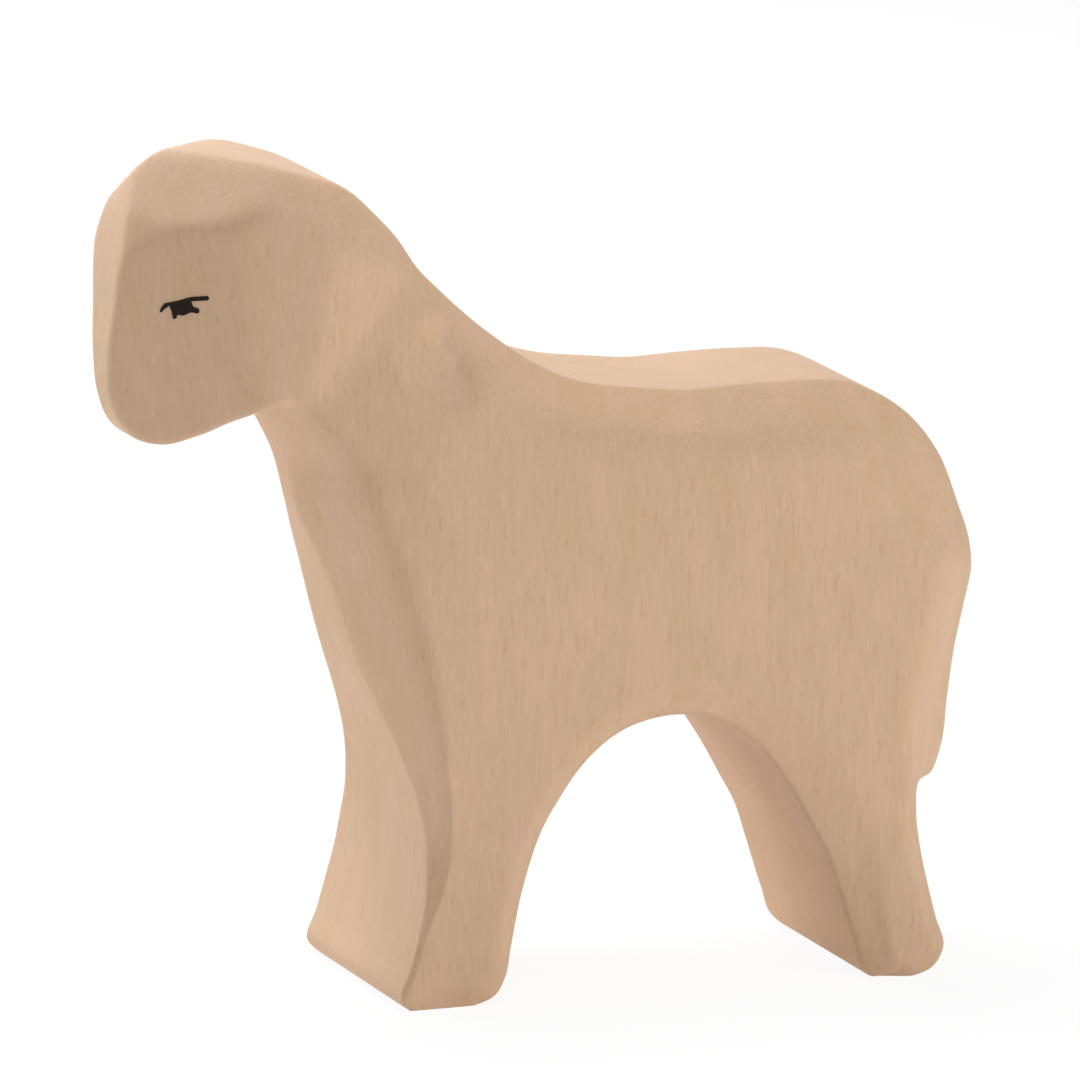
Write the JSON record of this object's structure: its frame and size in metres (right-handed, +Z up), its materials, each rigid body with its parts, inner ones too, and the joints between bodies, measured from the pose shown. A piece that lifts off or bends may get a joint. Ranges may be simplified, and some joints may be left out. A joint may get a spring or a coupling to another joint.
{
  "type": "sheep figurine",
  "caption": "Small standing sheep carved from one board of pale wood, with knife-cut facets, a lowered head, full-width legs under a belly arch and brush-painted eyes.",
  "frame": {"origin": "on the floor under the middle of the figure's bounding box", "axes": "+X forward to the nose, +Y to the sheep's own left, +Z up"},
  "size_m": [0.0832, 0.031, 0.08],
  "materials": {
    "bare_wood": "matt, sanded and oiled",
    "eye_paint": "matt brush paint, near-black brown"
  },
  "bodies": {
    "root": {"carved_body": "bare_wood", "left_eyelid_stroke": "eye_paint", "left_pupil_dab": "eye_paint", "right_eyelid_stroke": "eye_paint", "right_pupil_dab": "eye_paint"}
  },
  "joints": []
}
